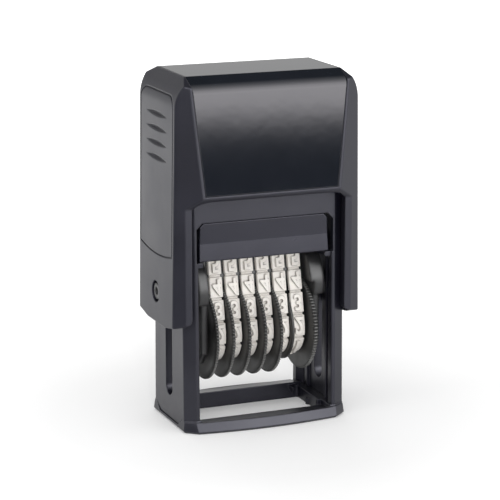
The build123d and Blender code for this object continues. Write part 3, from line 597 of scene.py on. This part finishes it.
def wheelProfile(shape, number):
    # half section as rows of x, radius and share of the tooth depth, from bore to bore over the rim;
    # the last wheel has a plain flange on the left and its thumb disc at the right end of its hub
    last = number == digitCount
    middleX = digitMiddle(number)
    left, right = middleX + shape["discLeft"], middleX + shape["discRight"]
    rim, teeth = (shape["flange"], 0) if last else (shape["rim"], 1)
    bore, boss, dish, hub = shape["bore"], shape["boss"], shape["dish"], shape["hub"]
    recess, land = shape["faceRecess"], shape["landWidth"]
    chamfer, corner = shape["chamfer"], shape["hubCorner"]
    root, dishRim = rim - shape["toothDepth"], rim - land - shape["landSlope"]
    rows = [(left, bore, 0), (left, boss, 0), (left + recess, dish, 0), (left + recess, dishRim, 0),
            (left, rim - land, 0), (left, root, 0),
            (left + shape["edgeSetBack"], rim - chamfer - shape["edgeDrop"], teeth),
            (left + chamfer, rim, teeth), (right - chamfer, rim, teeth), (right, rim - chamfer, teeth),
            (right, root, 0), (right, hub + corner, 0), (right + corner, hub, 0)]
    if last:
        start, end, rim = shape["endDiscLeft"], shape["endDiscRight"], shape["rim"]
        root, dishRim = rim - shape["endToothDepth"], rim - land - shape["landSlope"]
        rows += [(start - corner, hub, 0), (start, hub + corner, 0), (start, root, 0),
                 (start, rim - chamfer, 1), (start + chamfer, rim, 1), (end - chamfer, rim, 1),
                 (end, rim - chamfer, 1), (end, root, 0), (end, rim - land, 0),
                 (end - recess, dishRim, 0), (end - recess, dish, 0), (end, boss, 0), (end, bore, 0)]
    else:
        end, chamfer = middleX + shape["hubRight"], shape["hubChamfer"]
        rows += [(end - chamfer, hub, 0), (end, hub - chamfer, 0), (end, bore, 0)]
    return np.array(rows)


def wheelSurface(shape, number):
    # the half section turned about the axle, y and z being its radius times minus sine and cosine;
    # its rim dips between narrow teeth
    x, radius, teeth = wheelProfile(shape, number).T
    dip = np.tile(shape["dips"], shape["teeth"])[:, None] * shape["toothDepth"]
    steps = len(dip)
    turn = np.arange(steps)[:, None] * 2 * math.pi / steps
    dipped = radius - teeth * dip
    y = -dipped * np.sin(turn)
    z = axleZ + dipped * np.cos(turn)
    faces = gridFaces(steps, len(x), wrapRows=True, wrapColumns=True)
    return np.stack((np.broadcast_to(x, y.shape), y, z), axis=-1).reshape(-1, 3), faces


for number in range(1, digitCount + 1):
    points, faces = wheelSurface(numberWheel, number)
    wheel = makePiece(f"numberWheel{number}", points, faces, numberWheel["sharpAngle"])
    place(wheel, f"wheel_{number}", "wheel_plastic", f"number_wheel_{number}")
print("number wheels:", numberWheel["teeth"], "teeth")


# index cover

indexCover = {
    "bottomY": 14.705, "bottomZ": 56.35, "browY": 13.36, "browZ": 81.0, "topY": 9.05, "topZ": 83.0,
    "bottomHalfWidth": 16.31, "topHalfWidth": 18.92, "thickness": 1.0, "edgeRadius": 0.15,
    "outerRadii": (2.6, 0.6, 0.6, 2.6), "innerRadii": (1.6, 0.3, 0.3, 1.6),
    "support": 0.03, "arcSteps": 12, "runSteps": 4, "edgeSteps": 4, "sharpAngle": 50,
}


def coverCorners(shape):
    # side view as y and z, from the front's lower edge over the top to the back's
    half = [(shape[level + "Y"], shape[level + "Z"]) for level in ("bottom", "brow", "top")]
    return np.array([(-y, z) for y, z in half] + half[::-1])


def insetCorners(corners, distance):
    # the same open outline moved sideways to its right by a distance, corners kept sharp
    runs = np.diff(corners, axis=0)
    runs /= np.linalg.norm(runs, axis=1)[:, None]
    normals = np.stack((runs[:, 1], -runs[:, 0]), axis=1)
    before = np.concatenate((normals[:1], normals))
    after = np.concatenate((normals, normals[-1:]))
    cosine = np.sum(before * after, axis=1)[:, None]
    return corners + (before + after) * distance / (1 + cosine)


def runPoints(start, end, steps, support):
    # points along a straight run: one close behind its start and one close before its end keep it flat
    length = np.linalg.norm(end - start)
    shares = np.concatenate(([support / length], np.linspace(0, 1, steps + 1)[1:-1], [1 - support / length]))
    return start + (end - start) * shares[:, None]


def roundedOutline(corners, radii, shape):
    # an open outline with each inner corner turned into an arc about its own centre
    points = [corners[:1]]
    for before, corner, after, radius in zip(corners[:-2], corners[1:-1], corners[2:], radii):
        arriving = (corner - before) / np.linalg.norm(corner - before)
        leaving = (after - corner) / np.linalg.norm(after - corner)
        turn = math.atan2(arriving[0] * leaving[1] - arriving[1] * leaving[0], arriving @ leaving)
        start = corner - arriving * radius * math.tan(abs(turn) / 2)
        centre = start + math.copysign(radius, turn) * np.array([-arriving[1], arriving[0]])
        spoke = start - centre
        swing = np.linspace(0, turn, shape["arcSteps"])[:, None]
        arc = centre + spoke * np.cos(swing) + np.array([-spoke[1], spoke[0]]) * np.sin(swing)
        points += [runPoints(points[-1][-1], arc[0], shape["runSteps"], shape["support"]), arc]
    points += [runPoints(points[-1][-1], corners[-1], shape["runSteps"], shape["support"]), corners[-1:]]
    return np.concatenate(points)


def withEndRows(line, setBacks):
    # the outline's first and last two points give way to rows set back from its ends
    first, last = line[1] - line[0], line[-2] - line[-1]
    startRows = line[0] + first / np.linalg.norm(first) * setBacks[:, None]
    endRows = line[-1] + last / np.linalg.norm(last) * setBacks[::-1, None]
    return np.concatenate((startRows, line[2:-2], endRows))


def coverSurface(shape):
    # a closed section with round edges carried over front, top and back, wider towards the top;
    # the wall thins out to a round edge over the first and last rows
    corners, wall, radius = coverCorners(shape), shape["thickness"], shape["edgeRadius"]
    bend = np.linspace(math.pi / 2, 0, shape["edgeSteps"])
    setBacks = np.append(radius * (1 - np.sin(bend)), radius + shape["support"])
    thinning = np.append(radius * (1 - np.cos(bend)), 0)
    outer = withEndRows(roundedOutline(corners, shape["outerRadii"], shape), setBacks)
    inner = withEndRows(roundedOutline(insetCorners(corners, wall), shape["innerRadii"], shape), setBacks)
    thin = np.zeros((len(outer), 1))
    thin[:len(thinning), 0] = thinning
    thin[-len(thinning):, 0] = thinning[::-1]
    share = np.clip((outer[:, 1:] - shape["bottomZ"]) / (shape["browZ"] - shape["bottomZ"]), 0, 1)
    halfWidth = shape["bottomHalfWidth"] + (shape["topHalfWidth"] - shape["bottomHalfWidth"]) * share
    # section rows: side, distance in from that side's edge, depth below the outer face
    quarter = [(-1, across, depth) for across, depth in zip(setBacks, thinning)]
    outside = quarter + [(0, 0.0, 0.0)] + [(1, across, depth) for _, across, depth in quarter[::-1]]
    inside = [(side, across, wall - depth) for side, across, depth in outside[::-1]]
    side, across, depth = np.array(outside + inside).T
    x = side * (halfWidth - across)
    level = 0.5 + (depth / wall - 0.5) * (1 - 2 * thin / wall)
    y = outer[:, :1] * (1 - level) + inner[:, :1] * level
    z = outer[:, 1:] * (1 - level) + inner[:, 1:] * level
    faces = gridFaces(len(outer), len(side), wrapColumns=True)[:, ::-1].tolist()
    for base, turned in ((0, False), ((len(outer) - 1) * len(side), True)):
        for index in range(len(side) // 2 - 1):
            opposite = len(side) - 1 - index
            strip = [base + index, base + index + 1, base + opposite - 1, base + opposite]
            faces.append(strip if turned else strip[::-1])
    return np.stack((x, y, z), axis=-1).reshape(-1, 3), faces


points, faces = coverSurface(indexCover)
cover = makePiece("indexCover", points, faces, indexCover["sharpAngle"])
place(cover, "cover", "cover_gloss", "index_cover")
print("index cover:", len(cover.data.vertices), "points")


# return spring

returnSpring = {
    "radius": 6.0, "wireRadius": 0.45, "turns": 7.0, "flat": 0.5, "ramp": 0.5,
    "stepsPerTurn": 48, "sides": 12, "sharpAngle": 60,
}
springBottom, springTop = [inMillimetres(corner.z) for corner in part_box("return_spring")]


def springSurface(shape):
    # a round wire carried round a helix; each end coil lies flat and climbs into the even pitch,
    # the climb per turn being the pitch times a ramp that runs from 0 to 1 and back
    turn = np.linspace(0, shape["turns"], int(shape["turns"] * shape["stepsPerTurn"]) + 1)
    fromEnd = np.minimum(turn, shape["turns"] - turn)
    climb = np.clip((fromEnd - shape["flat"]) / shape["ramp"], 0, 1)
    height = np.concatenate(([0], np.cumsum((climb[1:] + climb[:-1]) / 2)))
    bottom, top = springBottom + shape["wireRadius"], springTop - shape["wireRadius"]
    angle = turn * 2 * math.pi
    outwards = np.stack((np.cos(angle), np.sin(angle), np.zeros(len(angle))), axis=1)
    path = outwards * shape["radius"]
    path[:, 2] = bottom + (top - bottom) * height / height[-1]
    along = np.gradient(path, axis=0)
    along /= np.linalg.norm(along, axis=1)[:, None]
    upwards = np.cross(outwards, along)
    around = np.arange(shape["sides"])[:, None] * 2 * math.pi / shape["sides"]
    ring = outwards[:, None, :] * np.cos(around) + upwards[:, None, :] * np.sin(around)
    points = path[:, None, :] + ring * shape["wireRadius"]
    firstRing = list(range(shape["sides"]))
    lastRing = [(len(path) - 1) * shape["sides"] + index for index in firstRing]
    faces = gridFaces(len(path), shape["sides"], wrapColumns=True).tolist() + [firstRing, lastRing[::-1]]
    return points.reshape(-1, 3), faces


points, faces = springSurface(returnSpring)
spring = makePiece("returnSpring", points, faces, returnSpring["sharpAngle"])
place(spring, "cap", "spring_steel", "return_spring")
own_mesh(spring)
print("return spring:", returnSpring["turns"], "turns")


# stage, in metres; a direction is azimuth and elevation in degrees, azimuth 0 in front, 90 on the right

stage = {
    "floorSize": 6.0, "floorColour": (0.82, 0.82, 0.82, 1), "floorRoughness": 0.9, "worldLight": 0.62,
    "glow": (0.155, 0.75), "glowReach": (0.045, 0.28), "lampAim": 0.04,
}
softboxes = {
    "topBox": {"direction": (-10, 70), "distance": 0.6, "size": 0.5, "watts": 1.1, "mirrored": False},
    "frontBox": {"direction": (-18, 8), "distance": 0.7, "size": 0.1, "watts": 2.1, "mirrored": False},
    "leftBox": {"direction": (-88, 32), "distance": 0.8, "size": 0.5, "watts": 0.85, "mirrored": True},
    "backBox": {"direction": (175, 35), "distance": 0.8, "size": 0.5, "watts": 1.2, "mirrored": False},
}
# across and up run from a card's middle to its edges; glow is a list of height share and brightness
cards = {
    "ceiling": {
        "middle": (0, 0.2, 0.75), "across": (1.8, 0, 0), "up": (0, 1.8, 0),
        "glow": ((0, 4.6), (0.22, 3.6), (0.33, 2.1), (0.4, 1.1), (0.46, 0.5), (0.53, 0.1), (0.69, 0.2),
                 (0.78, 1.1), (1, 1.6)),
    },
    "coverCard": {
        "middle": (0.2475, -0.457, 0.20), "across": (0.197, 0.079, 0), "up": (0, 0, 0.20),
        "glow": ((0, 0.10), (0.03, 0.12), (0.06, 0.28), (0.08, 1.0), (0.096, 2.8), (0.11, 4.6),
                 (0.126, 5.9), (0.20, 6.3), (0.35, 5.8), (0.6, 5.2), (0.85, 4.7), (1, 4.4)),
    },
    "cornerFlag": {
        "middle": (-0.135, -0.185, 0.001), "across": (0.10, -0.073, 0), "up": (-0.088, -0.12, 0),
        "glow": ((0, 0.12), (1, 0.12)),
    },
    "leftFlag": {
        "middle": (-0.29, -0.135, 0.11), "across": (0.055, -0.118, 0), "up": (0, 0, 0.11),
        "glow": ((0, 0.07), (0.5, 0.08), (0.75, 0.7), (1, 2.4)),
    },
    "backCard": {
        "middle": (0.05, 0.55, 0.16), "across": (0.35, 0, 0), "up": (0, 0, 0.14),
        "glow": ((0, 0.60), (0.55, 0.60), (0.8, 0.22), (1, 0.15)),
    },
}


def towards(azimuth, elevation):
    turn, rise = math.radians(azimuth), math.radians(elevation)
    return Vector((math.sin(turn) * math.cos(rise), -math.cos(turn) * math.cos(rise), math.sin(rise)))


def addSheet(name, corners):
    # one flat quad
    mesh = bpy.data.meshes.new(name)
    mesh.from_pydata(corners, [], [(0, 1, 2, 3)])
    sheet = bpy.data.objects.new(name, mesh)
    bpy.context.scene.collection.objects.link(sheet)
    return sheet


def seenRays(tree):
    # 1 for the rays that see the room: from the camera, off a mirror or through glass
    rays = addNode(tree, "LightPath").outputs
    seen = calculate(tree, "ADD", rays["Is Camera Ray"], rays["Is Glossy Ray"])
    return calculate(tree, "ADD", seen, rays["Is Transmission Ray"])


def makeFloor():
    half = stage["floorSize"] / 2
    floor = addSheet("floor", [(-half, -half, 0), (half, -half, 0), (half, half, 0), (-half, half, 0)])
    material, tree, surface, position = newMaterial("paleFloor")
    feed(tree, surface["Base Color"], stage["floorColour"])
    feed(tree, surface["Roughness"], stage["floorRoughness"])
    feed(tree, surface["Specular IOR Level"], 0.0)
    # the lamps fade with distance, so the floor's own glow, which grows over its reach, makes up for them
    distance = addNode(tree, "VectorMath", {0: position}, operation="LENGTH").outputs["Value"]
    glow = mapValue(tree, distance, *stage["glow"], *stage["glowReach"])
    feed(tree, surface["Emission Color"], (1, 1, 1, 1))
    feed(tree, surface["Emission Strength"], calculate(tree, "MULTIPLY", seenRays(tree), glow))
    floor.data.materials.append(material)


def makeWorld():
    world = bpy.data.worlds.new("paleRoom")
    bpy.context.scene.world = world
    world.use_nodes = True
    tree = world.node_tree
    background = tree.nodes["Background"].inputs
    feed(tree, background["Color"], (1, 1, 1, 1))
    strength = mapValue(tree, seenRays(tree), stage["worldLight"], 1.0, fromLow=0.0, fromHigh=1.0)
    feed(tree, background["Strength"], strength)


def addSoftbox(name, facts):
    # a square area lamp aimed at the middle of the object; one that isn't mirrored only lights
    lamp = bpy.data.lights.new(name, "AREA")
    lamp.shape = "RECTANGLE"
    lamp.size = lamp.size_y = facts["size"]
    lamp.energy = facts["watts"]
    toLamp = towards(*facts["direction"])
    softbox = bpy.data.objects.new(name, lamp)
    softbox.location = Vector((0, 0, stage["lampAim"])) + toLamp * facts["distance"]
    softbox.rotation_mode = "QUATERNION"
    softbox.rotation_quaternion = toLamp.to_track_quat("Z", "Y")
    softbox.visible_camera = False
    softbox.visible_glossy = facts["mirrored"]
    bpy.context.scene.collection.objects.link(softbox)


def addCard(name, facts):
    # a studio card that only reflections see, with a glow that runs from its lower edge to its upper one
    middle, across, up = Vector(facts["middle"]), Vector(facts["across"]), Vector(facts["up"])
    corners = [middle - across - up, middle + across - up, middle + across + up, middle - across + up]
    card = addSheet(name, corners)
    layer = card.data.uv_layers.new(name="place")
    layer.data.foreach_set("uv", [0, 0, 1, 0, 1, 1, 0, 1])
    material = bpy.data.materials.new(name)
    material.use_nodes = True
    tree = material.node_tree
    tree.nodes.clear()
    height = addNode(tree, "SeparateXYZ", {0: addNode(tree, "TexCoord").outputs["UV"]}).outputs["Y"]
    ramp = addNode(tree, "FloatCurve", {"Value": height})
    peak = max(brightness for _, brightness in facts["glow"])
    levels = [(share, brightness / peak) for share, brightness in facts["glow"]]
    curve = ramp.mapping.curves[0]
    for share, level in levels[1:-1]:
        curve.points.new(share, level)
    curve.points[0].location, curve.points[-1].location = levels[0], levels[-1]
    ramp.mapping.update()
    emission = addNode(tree, "Emission", {"Strength": calculate(tree, "MULTIPLY", ramp.outputs[0], peak)})
    addNode(tree, "OutputMaterial", {"Surface": emission.outputs[0]})
    card.data.materials.append(material)
    for ray in ("camera", "diffuse", "transmission", "volume_scatter", "shadow"):
        setattr(card, "visible_" + ray, False)


makeFloor()
makeWorld()
for name, facts in softboxes.items():
    addSoftbox(name, facts)
for name, facts in cards.items():
    addCard(name, facts)
print("stage:", len(softboxes), "softboxes,", len(cards), "cards")


# camera, in millimetres

cameraFacts = {
    "direction": (-22.24, 13.23), "distance": 493.2, "right": 0.35, "height": 39.62,
    "lens": 151.1, "sensor": 36,
}


def makeCamera(facts):
    back = towards(*facts["direction"])
    right = Vector((0, 0, 1)).cross(back).normalized()
    up = back.cross(right)
    lens = bpy.data.cameras.new("camera")
    lens.lens = facts["lens"]
    lens.sensor_width = facts["sensor"]
    camera = bpy.data.objects.new("camera", lens)
    camera.matrix_world = Matrix((right, up, back)).transposed().to_4x4()
    aim = Vector((0, 0, facts["height"])) + right * facts["right"]
    camera.location = (aim + back * facts["distance"]) * mm
    bpy.context.scene.collection.objects.link(camera)
    bpy.context.scene.camera = camera


makeCamera(cameraFacts)
bpy.context.scene.view_settings.view_transform = "Standard"

print("scene ready")
